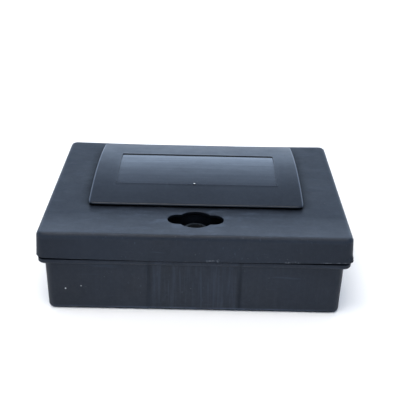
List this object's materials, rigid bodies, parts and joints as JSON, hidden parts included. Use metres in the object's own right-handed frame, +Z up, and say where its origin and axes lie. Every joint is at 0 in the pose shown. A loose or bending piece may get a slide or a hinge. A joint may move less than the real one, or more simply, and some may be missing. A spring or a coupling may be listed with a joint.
{
  "type": "bait station",
  "caption": "Flat lockable rodent bait box: hinged lid with keyhole and arched label plate, side entrances, lift-out bait trays with rods.",
  "frame": {"origin": "centre of the base's flat underside, on the ground, not counting the hinges that stand out at the rear", "axes": "+X right along the width, +Y from the keyhole side to the hinges, +Z up"},
  "size_m": [0.2424, 0.2019, 0.0782],
  "materials": {
    "base_plastic": "satin moulded black polypropylene, lightly scuffed",
    "lid_plastic": "satin moulded black polypropylene with a fine moulded grain",
    "plate_plastic": "semi-gloss moulded black polypropylene, smoother in the label recess",
    "cam_plastic": "dark grey glass-filled nylon",
    "tray_plastic": "moulded dark polypropylene",
    "steel": "zinc-plated steel",
    "rod_steel": "drawn stainless steel wire",
    "bait": "waxy pressed bait with grain flecks"
  },
  "bodies": {
    "base": {"base_tray": "base_plastic", "hinge_pin_left": "steel", "hinge_pin_right": "steel", "lock_spring_washer": "steel", "lock_washer": "steel", "lock_screw": "steel"},
    "lid": {"lid": "lid_plastic", "lock_keeper": "steel", "label_plate": "plate_plastic"},
    "lock": {"lock_cam": "cam_plastic"},
    "tray_left": {"bait_tray_left": "tray_plastic"},
    "tray_right": {"bait_tray_right": "tray_plastic"},
    "rod_left": {"bait_rod_left": "rod_steel", "bait_block_left_front": "bait", "bait_block_left_rear": "bait"},
    "rod_right": {"bait_rod_right": "rod_steel", "bait_block_right_front": "bait", "bait_block_right_rear": "bait"}
  },
  "joints": [
    {"name": "lid_hinge", "type": "hinge", "parent": "base", "child": "lid", "pos_m": [0, 0.1, 0.0453], "axis": [-1, 0, 0], "range_deg": [0, 110]},
    {"name": "lock_turn", "type": "hinge", "parent": "base", "child": "lock", "pos_m": [0, -0.066, 0.0462], "axis": [0, 0, 1], "range_deg": [0, 180]},
    {"name": "tray_lift_left", "type": "slide", "parent": "base", "child": "tray_left", "axis": [0, 0, 1], "range_m": [0, 0.014]},
    {"name": "tray_lift_right", "type": "slide", "parent": "base", "child": "tray_right", "axis": [0, 0, 1], "range_m": [0, 0.014]},
    {"name": "rod_lift_left", "type": "slide", "parent": "tray_left", "child": "rod_left", "axis": [0, 0, 1], "range_m": [0, 0.012]},
    {"name": "rod_lift_right", "type": "slide", "parent": "tray_right", "child": "rod_right", "axis": [0, 0, 1], "range_m": [0, 0.012]}
  ]
}
